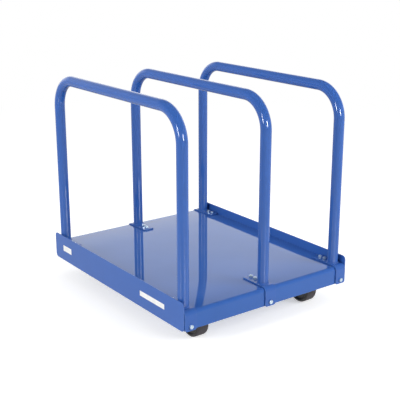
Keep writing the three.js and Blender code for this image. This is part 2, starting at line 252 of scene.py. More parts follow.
def add_piece(name, blocks, material, body, nodes=()):
    """Makes one mesh of all blocks, with a float per vertex named edge, hangs it on its body and hides the
    CAD nodes that it stands for."""
    points, faces, edges = [], [], []
    count = 0
    for block_points, quads, caps, weights in blocks:
        points.append(block_points)
        edges.append(weights)
        faces += (quads + count).tolist() + [(cap + count).tolist() for cap in caps]
        count += len(block_points)
    mesh = bpy.data.meshes.new(name)
    mesh.from_pydata((np.concatenate(points) * MM).tolist(), [], faces)
    edge = mesh.attributes.new("edge", "FLOAT", "POINT")
    edge.data.foreach_set("value", np.concatenate(edges).astype(np.float32))
    mesh.shade_smooth()
    mesh.set_sharp_from_angle(angle=SHARP)
    mesh.materials.append(material)
    piece = put_in_scene(name, mesh)
    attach(piece, body)
    if nodes:
        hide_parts(*nodes)
    return piece


def rounded_loop(corners, radii, steps=6, hold=HOLD):
    """A closed polygon with an arc at each corner. An arc touches both sides at its radius over the tangent
    of half the corner's angle, and its points turn evenly about a centre on the bisector. One more point on
    each side holds the straight. Corners run anticlockwise. Returns the points, their outward normals and 1
    where the point lies on an arc."""
    corner = np.asarray(corners, float)
    radius = np.broadcast_to(np.asarray(radii, float), len(corner))[:, None]
    back = np.roll(corner, 1, axis=0) - corner
    ahead = np.roll(corner, -1, axis=0) - corner
    back /= np.linalg.norm(back, axis=1, keepdims=True)
    ahead /= np.linalg.norm(ahead, axis=1, keepdims=True)
    half = 0.5 * np.arccos(np.clip((back * ahead).sum(axis=1, keepdims=True), -1, 1))
    bisector = (back + ahead) / np.linalg.norm(back + ahead, axis=1, keepdims=True)
    centre = corner + bisector * radius / np.sin(half)
    reach = radius / np.tan(half)
    start = ((corner + back * reach - centre) / radius)[:, None]
    stop = ((corner + ahead * reach - centre) / radius)[:, None]
    turn = (np.pi - 2 * half)[:, None]
    share = np.linspace(0, 1, steps + 1)[None, :, None]
    unit = (np.sin((1 - share) * turn) * start + np.sin(share * turn) * stop) / np.sin(turn)
    arc = centre[:, None] + radius[:, None] * unit
    first = arc[:, :1] + hold * back[:, None]
    last = arc[:, -1:] + hold * ahead[:, None]
    points = np.concatenate([first, arc, last], axis=1)
    outward = np.sign(back[:, 1] * ahead[:, 0] - back[:, 0] * ahead[:, 1])[:, None, None]
    normals = np.concatenate([unit[:, :1], unit, unit[:, -1:]], axis=1) * outward
    on_arc = np.zeros(points.shape[:2])
    on_arc[:, 1:-1] = 1
    return points.reshape(-1, 2), normals.reshape(-1, 2), on_arc.reshape(-1)


def rectangle(width, height, u=0, v=0):
    """Corners of a rectangle about (u, v), anticlockwise."""
    signs = np.array([(-1, -1), (1, -1), (1, 1), (-1, 1)])
    return signs * (width / 2, height / 2) + (u, v)


def edge_profile(low, high, radius, steps=4, hold=HOLD):
    """Inset and height of the rings round a plate: a holding ring on the lower face, a quarter circle at the
    lower edge, one at the upper edge and a holding ring on the upper face. Also gives 1 for each ring on a
    quarter circle."""
    turn = np.linspace(0, np.pi / 2, steps + 1)
    inset = radius * (1 - np.sin(turn))
    rise = radius * (1 - np.cos(turn))
    insets = np.concatenate([[radius + hold], inset, inset[::-1], [radius + hold]])
    heights = np.concatenate([[low], low + rise, high - rise[::-1], [high]])
    on_edge = np.ones(len(insets))
    on_edge[[0, -1]] = 0
    return insets, heights, on_edge


def drawn_in(axis, points, normals, insets, heights):
    """Rings across the named axis: an outline moved in along its normals by each ring's inset."""
    loops = points[None] - insets[:, None, None] * normals[None]
    return laid(axis, loops[..., 0], loops[..., 1], heights[:, None])


def plate(axis, corners, radii, low, high, edge_radius, steps=6):
    """A flat plate across the named axis: its rounded outline, drawn in at both faces."""
    points, normals, _ = rounded_loop(corners, radii, steps)
    insets, heights, on_edge = edge_profile(low, high, edge_radius)
    return block(drawn_in(axis, points, normals, insets, heights), edge=on_edge[:, None])


def round_axis(angle, radii, heights):
    """Points round an axis, as three coordinates: radius times cosine, radius times sine, and height."""
    return radii * np.cos(angle), radii * np.sin(angle), heights


def turned(axis, corners, radii, sides, centre, steps=4):
    """A ring turned on a lathe: a closed outline in (radius, place along the axis), rounded and carried
    once round. Returns its rings, its outline and 1 where the outline is on an arc."""
    outline, _, on_arc = rounded_loop(corners, radii, steps, FINE_HOLD)
    angle = np.linspace(0, TURN, sides, endpoint=False)[:, None]
    rings = laid(axis, *round_axis(angle, outline[:, 0], outline[:, 1])) + np.asarray(centre, float)
    return rings, outline, on_arc


def hexagon_radius(angle, flats):
    """Middle of a hexagon to its side: half the flats over the cosine of the angle off the flat."""
    return flats / 2 / np.cos((angle + np.pi / 6) % (np.pi / 3) - np.pi / 6)


def hex_rings(flats, height, turn, both_ends):
    """Angle, and radius and height over it, of a hexagon's rings. A cone of 30 degrees cuts the corners at
    the top, or at both ends: a ring's height falls by the tangent of 30 degrees times how far it is past
    the circle of the end face. A bottom that isn't cut stands on a thin washer face."""
    angle = np.linspace(0, TURN, HEX_SIDES, endpoint=False)
    outline = hexagon_radius(angle + turn, flats)
    circle = np.full(HEX_SIDES, HEX_CIRCLE * flats)
    over = np.maximum(outline - circle, 0) * math.tan(math.pi / 6)
    foot = over if both_ends else WASHER_FACE
    radii = np.array([circle - HEX_HOLD, circle, outline, outline, circle, circle - HEX_HOLD])
    heights = np.stack(np.broadcast_arrays(0.0, 0.0, foot, height - over, height, height))
    return angle, radii, heights


def hex_head(flats, height, turn):
    """Hex head on the plane at zero, with a thin round washer face under it and a chamfered top."""
    return round_axis(*hex_rings(flats, height, turn, both_ends=False))


def hex_nut(flats, height, bore, turn, collar=0.0):
    """Hex nut on the plane at zero, chamfered at both faces, with a sunk bore. A collar is a round lip on
    top of the hexagon that takes up that much of the height, as on a nut with a locking ring. Its rings
    wrap round through the bore."""
    angle, radii, heights = hex_rings(flats, height - collar, turn, both_ends=True)
    radii[[0, -1]] = bore + NUT_SINK
    inside = [(bore, height - NUT_SINK_DEPTH), (bore, NUT_SINK_DEPTH)]
    if collar:
        radii, heights = radii[:-1], heights[:-1]
        lip = COLLAR_RADIUS * flats
        upright = [(lip, height - collar), (lip, height - 0.45 * collar)]
        inside = upright + [(lip - 0.3 * collar, height), (bore + 1.5 * NUT_SINK, height)] + inside
    rest = np.array(inside)[:, :, None] * np.ones(HEX_SIDES)
    return round_axis(angle, np.concatenate([radii, rest[:, 0]]), np.concatenate([heights, rest[:, 1]]))


def thread(radius, pitch, low, high):
    """Threaded end: the radius falls from crest to root and back along a helix, by a triangle wave of the
    height over the pitch less the share of a turn, and the last turn tapers into a chamfer."""
    angle = np.linspace(0, TURN, THREAD_SIDES, endpoint=False)
    count = max(THREAD_RINGS, int((high - low) / pitch * THREAD_RINGS))
    heights = np.linspace(low, high, count)[:, None]
    wave = 2 * np.abs((heights / pitch - angle / TURN) % 1 - 0.5)
    taper = np.clip((heights - high) / (0.9 * pitch) + 1, 0, 1)
    return round_axis(angle, radius - 0.5 * pitch * np.maximum(1 - wave, taper), heights)


def round_bar(radius, low, high):
    """Plain round bar between two heights."""
    angle = np.linspace(0, TURN, BAR_SIDES, endpoint=False)
    return round_axis(angle, radius, np.array([[low], [high]], float))


def set_on(axis, sign, centre, parts, wrap=False):
    """A block whose own height runs from the centre along the named axis, forwards or backwards."""
    first, second, third = parts
    return block(laid(axis, first, second, sign * third) + np.asarray(centre, float), wrap=wrap)


def bead(line, side, up, size, ripple, taper=0.0):
    """Weld bead in the corner between two faces: at each point of the line, a quarter ellipse between the
    side and up directions, closed inside the corner. Its size swells once per ripple as overlapping puddles
    do, by the root of the share of the ripple that is left, and where taper is set it shrinks to nothing
    over that length at each end."""
    length = np.concatenate([[0], np.cumsum(np.linalg.norm(np.diff(line, axis=0), axis=1))])
    puddle = 1 + PUDDLE_SWELL * (np.sqrt(1 - (length / ripple) % 1) - PUDDLE_LEVEL)
    if taper:
        ends = np.minimum(length, length[-1] - length) / taper
        puddle = puddle * np.sqrt(np.clip(ends, 0.02, 1))
    turn = np.linspace(0, np.pi / 2, 7)
    along_side = np.concatenate([np.sin(turn), [0.5, WELD_ROOT, WELD_ROOT]]) * size[0]
    along_up = np.concatenate([np.cos(turn), [WELD_ROOT, WELD_ROOT, 0.5]]) * size[1]
    side, up = (np.broadcast_to(way, line.shape)[:, None] for way in (side, up))
    offsets = along_side[None, :, None] * side + along_up[None, :, None] * up
    return line[:, None] + offsets * puddle[:, None, None]


# Node groups: effects that several finishes share


def bare_tree(owner):
    """Turns on the nodes of a material, a world or a lamp and clears them."""
    owner.use_nodes = True
    owner.node_tree.nodes.clear()
    return owner.node_tree


def node(tree, kind, inputs=None, **settings):
    """Adds a shader node, sets its properties, then links the inputs that are sockets and sets the rest."""
    made = tree.nodes.new("ShaderNode" + kind)
    for key, value in settings.items():
        setattr(made, key, value)
    for key, value in (inputs or {}).items():
        if isinstance(value, bpy.types.NodeSocket):
            tree.links.new(value, made.inputs[key])
        else:
            made.inputs[key].default_value = value
    return made


def math_node(tree, operation, *values):
    """One step of arithmetic on values or sockets."""
    return node(tree, "Math", dict(enumerate(values)), operation=operation).outputs[0]


def product(tree, first, second, *more):
    """Values or sockets multiplied together."""
    result = math_node(tree, "MULTIPLY", first, second)
    return product(tree, result, *more) if more else result


def ramp(tree, value, low, high, to_low=0.0, to_high=1.0):
    """Maps a value smoothly from one range to another and stops at the ends."""
    inputs = {"Value": value, "From Min": low, "From Max": high, "To Min": to_low, "To Max": to_high}
    return node(tree, "MapRange", inputs, interpolation_type="SMOOTHSTEP").outputs["Result"]


def blended(tree, factor, first, second):
    """Mixes two colours by a factor."""
    return node(tree, "Mix", {0: factor, 6: first, 7: second}, data_type="RGBA").outputs[2]


def noise(tree, scale, detail=2.0, stretch=None, turn=0.0):
    """Noise over Object coordinates, stretched along the axes where that is given."""
    place = node(tree, "TexCoord").outputs["Object"]
    if stretch:
        inputs = {"Vector": place, "Rotation": (0, 0, turn), "Scale": stretch}
        place = node(tree, "Mapping", inputs).outputs[0]
    return node(tree, "TexNoise", {"Vector": place, "Scale": scale, "Detail": detail}).outputs["Fac"]


def effect(name, inputs, output):
    """An empty node group with float inputs and one float output. Gives its tree, inputs and output."""
    tree = bpy.data.node_groups.new(name, "ShaderNodeTree")
    for label, value in inputs.items():
        socket = tree.interface.new_socket(label, in_out="INPUT", socket_type="NodeSocketFloat")
        socket.default_value = value
    tree.interface.new_socket(output, in_out="OUTPUT", socket_type="NodeSocketFloat")
    given = tree.nodes.new("NodeGroupInput").outputs
    return tree, given, tree.nodes.new("NodeGroupOutput").inputs[output]


def orange_peel():
    """Height of sprayed and baked paint: fine ripples of the given scale on a slow swell, in metres."""
    tree, given, out = effect("orange_peel", {"Scale": 260.0, "Depth": 0.00002}, "Height")
    fine = noise(tree, given["Scale"], 1.0)
    slow = noise(tree, product(tree, given["Scale"], 0.06), 0.0)
    both = math_node(tree, "MULTIPLY_ADD", slow, 3.0, fine)
    tree.links.new(product(tree, both, given["Depth"]), out)
    return tree


def lighter_edge():
    """Where an edge is lighter, as thinned paint or plating, and on the blue paint also as a painted glint:
    the piece's own edge weight, broken up by noise.
    """
    tree, given, out = effect("lighter_edge", {"Scale": 60.0, "Amount": 0.5}, "Mask")
    weight = node(tree, "Attribute", attribute_name="edge").outputs["Fac"]
    broken = ramp(tree, noise(tree, given["Scale"], 3.0), 0.35, 0.65)
    tree.links.new(product(tree, weight, broken, given["Amount"]), out)
    return tree


def settled_dust():
    """Dust on faces that look up: the normal's height, ramped, times patches of noise."""
    tree, given, out = effect("settled_dust", {"Scale": 9.0, "Amount": 0.1}, "Mask")
    normal = node(tree, "NewGeometry").outputs["Normal"]
    upward = ramp(tree, node(tree, "SeparateXYZ", {0: normal}).outputs["Z"], 0.55, 0.98)
    patches = ramp(tree, noise(tree, given["Scale"], 5.0), 0.3, 0.75)
    tree.links.new(product(tree, upward, patches, given["Amount"]), out)
    return tree


def slide_marks():
    """Hair scratches that sheets leave as they slide along the bays: crests of noise drawn out along Y."""
    tree, given, out = effect("slide_marks", {"Scale": 1.0, "Amount": 0.3}, "Mask")
    long_marks = ramp(tree, noise(tree, given["Scale"], 2.0, (420, 5, 60), 0.03), 0.66, 0.74)
    short_marks = ramp(tree, noise(tree, given["Scale"], 2.0, (520, 16, 80), -0.16), 0.7, 0.78)
    both = math_node(tree, "MAXIMUM", long_marks, short_marks)
    tree.links.new(product(tree, both, given["Amount"]), out)
    return tree


def rolled_edge():
    """Height of a sheet that rolls down towards its front and rear folds: nothing up to the start, then
    less by the drop times the square of the share of the reach that lies behind, in metres."""
    tree, given, out = effect("rolled_edge", {"Start": 0.25, "Reach": 0.173, "Drop": 0.004}, "Height")
    across = node(tree, "SeparateXYZ", {0: node(tree, "TexCoord").outputs["Object"]}).outputs["Y"]
    past = math_node(tree, "SUBTRACT", math_node(tree, "ABSOLUTE", across), given["Start"])
    share = node(tree, "Clamp", {0: math_node(tree, "DIVIDE", past, given["Reach"])}).outputs[0]
    tree.links.new(product(tree, share, share, given["Drop"], -1.0), out)
    return tree


def mottling():
    """A slow drift about one: noise of the given scale, times the spread."""
    tree, given, out = effect("mottling", {"Scale": 12.0, "Spread": 0.1}, "Value")
    drift = math_node(tree, "SUBTRACT", noise(tree, given["Scale"], 4.0), 0.5)
    tree.links.new(math_node(tree, "MULTIPLY_ADD", drift, given["Spread"], 1.0), out)
    return tree


EFFECTS = {
    "orange_peel": orange_peel(),
    "lighter_edge": lighter_edge(),
    "settled_dust": settled_dust(),
    "slide_marks": slide_marks(),
    "rolled_edge": rolled_edge(),
    "mottling": mottling(),
}


def use(tree, name, **values):
    """Places one of the effects in a material with its own values and gives its output."""
    placed = node(tree, "Group", node_tree=EFFECTS[name])
    for key, value in values.items():
        placed.inputs[key.title()].default_value = value
    return placed.outputs[0]


# Finishes


def finish(name, **sockets):
    """A material with a Principled shader and its constants. Gives the material, its tree and the shader."""
    material = bpy.data.materials.new(name)
    tree = bare_tree(material)
    constants = {key.replace("_", " "): value for key, value in sockets.items()}
    shader = node(tree, "BsdfPrincipled", constants)
    node(tree, "OutputMaterial", {"Surface": shader.outputs[0]})
    return material, tree, shader


def coat(tree, shader, colour, height, roughness=None):
    """Links a colour to the shader, a height in metres to its normal, and a roughness where one is given."""
    bump = node(tree, "Bump", {"Height": height, "Strength": 1.0, "Distance": 1.0})
    tree.links.new(colour, shader.inputs["Base Color"])
    tree.links.new(bump.outputs[0], shader.inputs["Normal"])
    if roughness is not None:
        tree.links.new(roughness, shader.inputs["Roughness"])


def blue_paint(name, roughness, depth, dust, marks, roll, **sockets):
    """Blue powder coat: orange peel, a slow drift of colour, edges lighter as thin paint and as a painted
    glint, dust and slide marks, on a sheet that may roll down to its folds."""
    # the lighter edge blue stands for thin paint and for a painted glint along the edges
    blue, thin_paint_and_glint_blue, grey_dust = (0.03, 0.106, 0.385), (0.12, 0.23, 0.52, 1), (0.42, 0.43, 0.45, 1)
    material, tree, shader = finish(name, **sockets)
    drift = {0: blue, "Scale": use(tree, "mottling", scale=7.0, spread=0.12)}
    drifted = node(tree, "VectorMath", drift, operation="SCALE").outputs[0]
    # lighter edges: thin paint, and a painted glint along them
    edged = blended(tree, use(tree, "lighter_edge", scale=45.0, amount=0.45), drifted, thin_paint_and_glint_blue)
    dusty = use(tree, "settled_dust", scale=6.0, amount=dust)
    scratched = use(tree, "slide_marks", amount=marks)
    varied = product(tree, use(tree, "mottling", scale=18.0, spread=0.4), roughness)
    dulled = math_node(tree, "MULTIPLY_ADD", dusty, 0.9, varied)
    scored = product(tree, scratched, -0.000008)
    surface = math_node(tree, "ADD", use(tree, "orange_peel", scale=240.0, depth=depth), scored)
    coat(
        tree,
        shader,
        colour=blended(tree, dusty, edged, grey_dust),
        height=math_node(tree, "ADD", surface, use(tree, "rolled_edge", drop=roll)),
        roughness=math_node(tree, "ADD", dulled, scratched),
    )
    return material


def zinc_plate():
    """Bright zinc: cloudy between a pale and a darker bluish grey, duller in patches, with a fine grain."""
    pale, darker, rubbed = (0.76, 0.9, 1, 1), (0.62, 0.75, 0.84, 1), (0.86, 0.94, 1, 1)
    material, tree, shader = finish("bright_zinc", Metallic=1.0)
    cloud = blended(tree, ramp(tree, noise(tree, 55.0, 4.0), 0.35, 0.7), pale, darker)
    edged = blended(tree, use(tree, "lighter_edge", scale=90.0, amount=0.5), cloud, rubbed)
    rough = ramp(tree, noise(tree, 130.0, 3.0), 0.25, 0.8, 0.24, 0.46)
    coat(tree, shader, edged, product(tree, noise(tree, 900.0, 2.0), 0.00002), rough)
    return material


def turned_steel():
    """Bearing steel: grey, with turning marks that change quickly along X, and a trace of grease."""
    grey, greasy = (0.5, 0.51, 0.53, 1), (0.22, 0.2, 0.17, 1)
    material, tree, shader = finish("turned_steel", Metallic=1.0)
    grease = ramp(tree, noise(tree, 70.0, 3.0), 0.45, 0.7)
    rough = ramp(tree, grease, 0.0, 1.0, 0.26, 0.5)
    marks = product(tree, noise(tree, 1.0, 1.0, (2600, 60, 60)), 0.000012)
    coat(tree, shader, blended(tree, grease, grey, greasy), marks, rough)
    return material


def wheel_compound():
    """Black wheel compound: nearly black on the moulded sides, as painted shade for sides that sit in shadow,
    and dark grey and dull, with grimy patches, where the edge weight marks the tread."""
    # near black on the sides: the compound's own black together with a painted shade of the sides
    black, black_fleck = (0.014, 0.0135, 0.014, 1), (0.03, 0.028, 0.027, 1)
    grey, grey_fleck = (0.047, 0.042, 0.047, 1), (0.077, 0.07, 0.08, 1)
    material, tree, shader = finish("wheel_compound")
    tread = node(tree, "Attribute", attribute_name="edge").outputs["Fac"]
    flecks = ramp(tree, noise(tree, 420.0, 3.0), 0.4, 0.7)
    side = blended(tree, flecks, black, black_fleck)
    rolled = blended(tree, flecks, grey, grey_fleck)
    # weight from the sides' painted shade to the grimy grey tread, in patches
    tread_grime_vs_side_shade = product(tree, tread, use(tree, "mottling", scale=30.0, spread=0.6))
    rough = ramp(tree, tread, 0.0, 1.0, 0.42, 0.72)
    grain = product(tree, noise(tree, 650.0, 3.0), 0.00008)
    coat(tree, shader, blended(tree, tread_grime_vs_side_shade, side, rolled), grain, rough)
    return material


def blank_label():
    """Blank white vinyl sticker: faintly yellowed in patches, with a fine tooth."""
    white, yellowed = (0.82, 0.82, 0.81, 1), (0.74, 0.74, 0.72, 1)
    material, tree, shader = finish("blank_label", Roughness=0.42)
    patch = ramp(tree, noise(tree, 40.0, 3.0), 0.3, 0.8)
    tooth = product(tree, noise(tree, 1500.0, 1.0), 0.000006)
    coat(tree, shader, blended(tree, patch, white, yellowed), tooth)
    return material


DECK_PAINT = blue_paint(
    "deck_paint",
    roughness=0.03,
    depth=0.0000004,
    dust=0.015,
    marks=0.02,
    roll=0.003,
    IOR=1.5,
    Specular_Tint=(0.86, 1, 0.96, 1),
)
FRAME_PAINT = blue_paint(
    "frame_paint",
    roughness=0.08,
    depth=0.0000015,
    dust=0.02,
    marks=0.0,
    roll=0.0,
    IOR=1.5,
)
ZINC = zinc_plate()
STEEL = turned_steel()
WHEEL = wheel_compound()
LABEL = blank_label()


# Pieces


# Collections of the pieces that mirror the strobes and screens of the studio
TUBES = bpy.data.collections.new("tubes")
TUBES_AND_DECK = bpy.data.collections.new("tubes_and_deck")
SMALL_PIECES = bpy.data.collections.new("bolts_welds_and_floor")


def stand_in(node_name, suffix, blocks, material):
    """A piece that takes the place of one CAD node and rides on the same body."""
    body = frame["nodes"][node_name]["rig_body"]
    return add_piece(f"{node_name}_{suffix}", blocks, material, body, [node_name])


def add_deck():
    """One sheet folded down at front and rear: the outline of the fold in (y, z), carried along X."""
    low, high = spot("deck")
    outer, bottom, top = high[1], low[2], high[2]
    inner, under = outer - DECK_WALL, top - DECK_WALL
    outside = [(outer, bottom), (outer, top), (-outer, top), (-outer, bottom)]
    inside = [(-inner, bottom), (-inner, under), (inner, under), (inner, bottom)]
    bend, tight = DECK_BEND, DECK_BEND - DECK_WALL
    radii = [SHEET_EDGE, bend, bend, SHEET_EDGE, SHEET_EDGE, tight, tight, SHEET_EDGE]
    outline, _, on_arc = rounded_loop(outside + inside, radii, steps=12)
    is_cut = [1, 0, 0, 1, 1, 0, 0, 1]
    on_cut = on_arc * np.repeat(is_cut, len(on_arc) // len(is_cut))
    rings = laid("x", outline[:, 0], outline[:, 1], np.linspace(low[0], high[0], DECK_RINGS)[:, None])
    sheet = stand_in("deck", "sheet", [block(rings, edge=on_cut)], DECK_PAINT)
    TUBES_AND_DECK.objects.link(sheet)


def add_end_plate(name):
    """Flat plate with round corners along the deck's end."""
    low, high = spot(f"end_plate_{name}")
    size = high - low
    outline = rectangle(size[1], size[2], 0, (low[2] + high[2]) / 2)
    panel = plate("x", outline, END_CORNER, low[0], high[0], SHEET_EDGE, steps=12)
    stand_in(f"end_plate_{name}", "panel", [panel], FRAME_PAINT)


def add_end_welds(name, side):
    """Stitch welds where the end plate meets the deck's underside and the skirts."""
    deck_low, deck_high = spot("deck")
    face = spot(f"end_plate_{name}")[0 if side > 0 else 1][0]
    under = deck_high[2] - DECK_WALL
    inner = deck_high[1] - DECK_WALL
    steps = np.linspace(-STITCH_HALF, STITCH_HALF, STITCH_STEPS)
    inward = (-side, 0, 0)
    stitches = [(laid("z", face, steps + place, under), (0, 0, -1)) for place in STITCH_PLACES]
    height = steps + (deck_low[2] + under) / 2 - SKIRT_STITCH_DROP
    stitches += [(laid("z", face, end * inner, height), (0, -end, 0)) for _, end in ENDS]
    blocks = [
        block(bead(line, inward, other, STITCH_WELD, STITCH_RIPPLE, STITCH_TAPER)) for line, other in stitches
    ]
    add_piece(f"end_plate_{name}_welds", blocks, FRAME_PAINT, "frame")


def add_hoop(name):
    """Round tube bent into an inverted U: circles carried up one leg, along the bar and down the other."""
    low, high = spot(f"hoop_{name}")
    x, leg, bar = (low[0] + high[0]) / 2, high[1] - TUBE_RADIUS, high[2] - TUBE_RADIUS
    turn = np.linspace(0, np.pi / 2, BEND_STEPS + 1)
    turn = np.concatenate([[0, 0], turn, [np.pi / 2]])
    straight = np.zeros(len(turn))
    straight[:2] = (bar - HOOP_BEND - low[2], HOLD)
    ahead = np.zeros(len(turn))
    ahead[-1] = HOLD
    y = -leg + HOOP_BEND * (1 - np.cos(turn)) + ahead
    z = bar - HOOP_BEND * (1 - np.sin(turn)) - straight
    tilt = np.concatenate([turn, np.pi - turn[::-1]])[:, None]
    y = np.concatenate([y, -y[::-1]])[:, None]
    z = np.concatenate([z, z[::-1]])[:, None]
    angle = np.linspace(0, TURN, TUBE_SIDES, endpoint=False)
    out = TUBE_RADIUS * np.cos(angle)
    rings = laid("z", x + TUBE_RADIUS * np.sin(angle), y - out * np.cos(tilt), z + out * np.sin(tilt))
    tube = stand_in(f"hoop_{name}", "tube", [block(rings)], FRAME_PAINT)
    TUBES.objects.link(tube)
    TUBES_AND_DECK.objects.link(tube)
    for end, sign in ENDS:
        add_foot(name, end, sign, x, sign * leg)


def quarter_inset(radius, distance):
    """How far a quarter circle of the given radius is drawn in at a distance from the end: the radius less
    the root of its square less the square of what is missing to it."""
    missing = np.maximum(radius - distance, 0)
    return radius - np.sqrt(np.maximum(radius**2 - missing**2, 0))


def add_foot(name, end, sign, x, leg):
    """Strip that lies on the deck and bends down over the skirt: a rounded rectangle carried along the bent
    line, narrowed round the tab's corners and drawn in at both ends. A ring of weld joins it to the tube."""
    label = f"foot_{name}_{end}"
    low, high = spot(label)
    inner = min(abs(low[1]), abs(high[1]))
    outer = max(abs(low[1]), abs(high[1])) - FOOT_WALL / 2
    top = high[2] - FOOT_WALL / 2
    radius = DECK_BEND + SEAT_GAP + FOOT_WALL / 2
    flat, curve, drop = outer - radius - inner, radius * np.pi / 2, top - radius - low[2]
    length = flat + curve + drop
    cut = SHEET_EDGE
    near_end = cut * (1 - np.cos(np.linspace(0, np.pi / 2, 6)))
    round_end = TAB_CORNER * (1 - np.cos(np.linspace(0, np.pi / 2, 12)))
    tail = np.unique(np.concatenate([near_end, [cut + HOLD], round_end[1:], [TAB_CORNER + HOLD]]))
    bend = flat + np.concatenate([[-HOLD], np.linspace(0, curve, 17), [curve + HOLD]])
    along = np.concatenate([near_end, [cut + HOLD], bend, length - tail[::-1]])[:, None]
    turn = np.clip((along - flat) / radius, 0, np.pi / 2)
    y = inner + np.minimum(along, flat) + radius * np.sin(turn)
    z = top - radius * (1 - np.cos(turn)) - np.maximum(along - flat - curve, 0)
    left = length - along
    closest = np.minimum(along, left)
    draw_in = quarter_inset(cut, closest)
    section, _, on_arc = rounded_loop(rectangle(high[0] - low[0], FOOT_WALL), cut, 4)
    across = section[:, 0] - np.sign(section[:, 0]) * (draw_in + quarter_inset(TAB_CORNER, left))
    through = section[:, 1] - np.sign(section[:, 1]) * draw_in
    rings = laid("z", x + across, sign * (y + through * np.sin(turn)), z + through * np.cos(turn))
    worn = np.maximum(on_arc[None], closest < cut)
    stand_in(label, "strip", [block(rings, edge=worn)], FRAME_PAINT)

    angle = np.linspace(0, TURN, RING_STEPS, endpoint=False)
    radial = laid("z", np.cos(angle), np.sin(angle), 0)
    line = radial * TUBE_RADIUS + (x, leg, high[2])
    ring = bead(line, radial, (0, 0, 1), RING_WELD, TURN * TUBE_RADIUS / RING_PUDDLES)
    weld = add_piece(f"{label}_weld", [block(ring, wrap=True)], FRAME_PAINT, "frame")
    SMALL_PIECES.objects.link(weld)


def nut_and_thread(axis, sign, seat, turn):
    """Nut on a seat, and the thread that shows past it."""
    nut = hex_nut(BOLT_FLATS, BOLT_NUT, BOLT_BORE, turn)
    tip = thread(BOLT_RADIUS, BOLT_PITCH, -THREAD_OVERLAP, BOLT_NUT + BOLT_TIP)
    return [set_on(axis, sign, seat, nut, wrap=True), set_on(axis, sign, seat, tip)]


def bolt_blocks(axis, sign, centre, grip, turn):
    """Hex bolt with its nut: the head stands on the plane through the centre, the nut below the grip, and
    thread shows past the nut."""
    way = np.zeros(3)
    way["xyz".index(axis)] = sign
    head = set_on(axis, sign, centre + SEAT_GAP * way, hex_head(BOLT_FLATS, BOLT_HEAD, turn))
    end = nut_and_thread(axis, -sign, centre - (grip + SEAT_GAP) * way, 2 * turn)
    root = BOLT_RADIUS - 0.5 * BOLT_PITCH
    shank = set_on(axis, -sign, centre, round_bar(root, -BOLT_HEAD / 2, grip + BOLT_NUT / 2))
    return [head, *end, shank]


def add_bolt(node_name, axis, sign, turn):
    """A foot's or tab's bolt. Its place and grip come from its node's box."""
    low, high = spot(node_name)
    way = "xyz".index(axis)
    grip = high[way] - low[way] - BOLT_HEAD - BOLT_NUT - BOLT_TIP - 2 * SEAT_GAP
    centre = (low + high) / 2
    centre[way] = high[way] - BOLT_HEAD - SEAT_GAP if sign > 0 else low[way] + BOLT_HEAD + SEAT_GAP
    bolt = stand_in(node_name, "hex", bolt_blocks(axis, sign, centre, grip, turn), ZINC)
    SMALL_PIECES.objects.link(bolt)


def add_bolts():
    """All bolts of the feet, each left at its own turn of the spanner."""
    count = 0
    for name in HOOPS:
        for end, sign in ENDS:
            for place in ("inner", "outer"):
                count += 1
                add_bolt(f"foot_bolt_{name}_{end}_{place}", "z", -1, count * SPANNER_STEP)
            count += 1
            add_bolt(f"tab_bolt_{name}_{end}", "y", sign, count * SPANNER_STEP)


def leg_corners(centre_y, axle_y, axle_z, top):
    """Top corners of a fork leg and the point below the axle where its sides would meet. Each side runs
    from a top corner to touch the circle of the eye, at an angle off the line to the axle whose cosine is
    the radius over its length."""
    axle = np.array([axle_y, axle_z])
    tops = np.array([(centre_y - LEG_TOP / 2, top), (centre_y + LEG_TOP / 2, top)])
    reach = tops - axle
    span = np.hypot(reach[:, 0], reach[:, 1])
    angle = np.arctan2(reach[:, 1], reach[:, 0]) + np.arccos(FORK_EYE / span) * np.array([1, -1])
    touch = axle + FORK_EYE * np.stack([np.cos(angle), np.sin(angle)], axis=1)
    along = touch - tops
    share = np.linalg.solve(np.stack([along[0], -along[1]], axis=1), tops[1] - tops[0])
    return [tops[0], tops[0] + share[0] * along[0], tops[1]]


def fork_legs(x, centre_y, axle_y, axle_z, top, under):
    """Two legs with a round eye, and a bead of weld along each leg's root on its outer side."""
    corners = leg_corners(centre_y, axle_y, axle_z, top)
    radii = [LEG_CORNER, FORK_EYE, LEG_CORNER]
    half = LEG_TOP / 2 - LEG_WELD_INSET
    steps = np.linspace(-half, half, LEG_WELD_STEPS)
    blocks = []
    for _, side in SIDES:
        outer = x + side * (LEG_INNER + FORK_WALL)
        low, high = sorted((x + side * LEG_INNER, outer))
        blocks.append(plate("x", corners, radii, low, high, LEG_EDGE, steps=24))
        line = laid("z", outer, steps + centre_y, under)
        weld = bead(line, (side, 0, 0), (0, 0, -1), LEG_WELD, LEG_WELD_RIPPLE, LEG_WELD_TAPER)
        blocks.append(block(weld))
    return blocks


def add_plate_nuts(name, x, y, under):
    """Four studs under the deck hold a caster's plate, each with its nut."""
    blocks = []
    for index, (across, along) in enumerate(rectangle(*STUD_SPAN)):
        blocks += nut_and_thread("z", -1, np.array([x + across, y + along, under]), STUD_TURN + index)
    add_piece(name, blocks, ZINC, "frame")


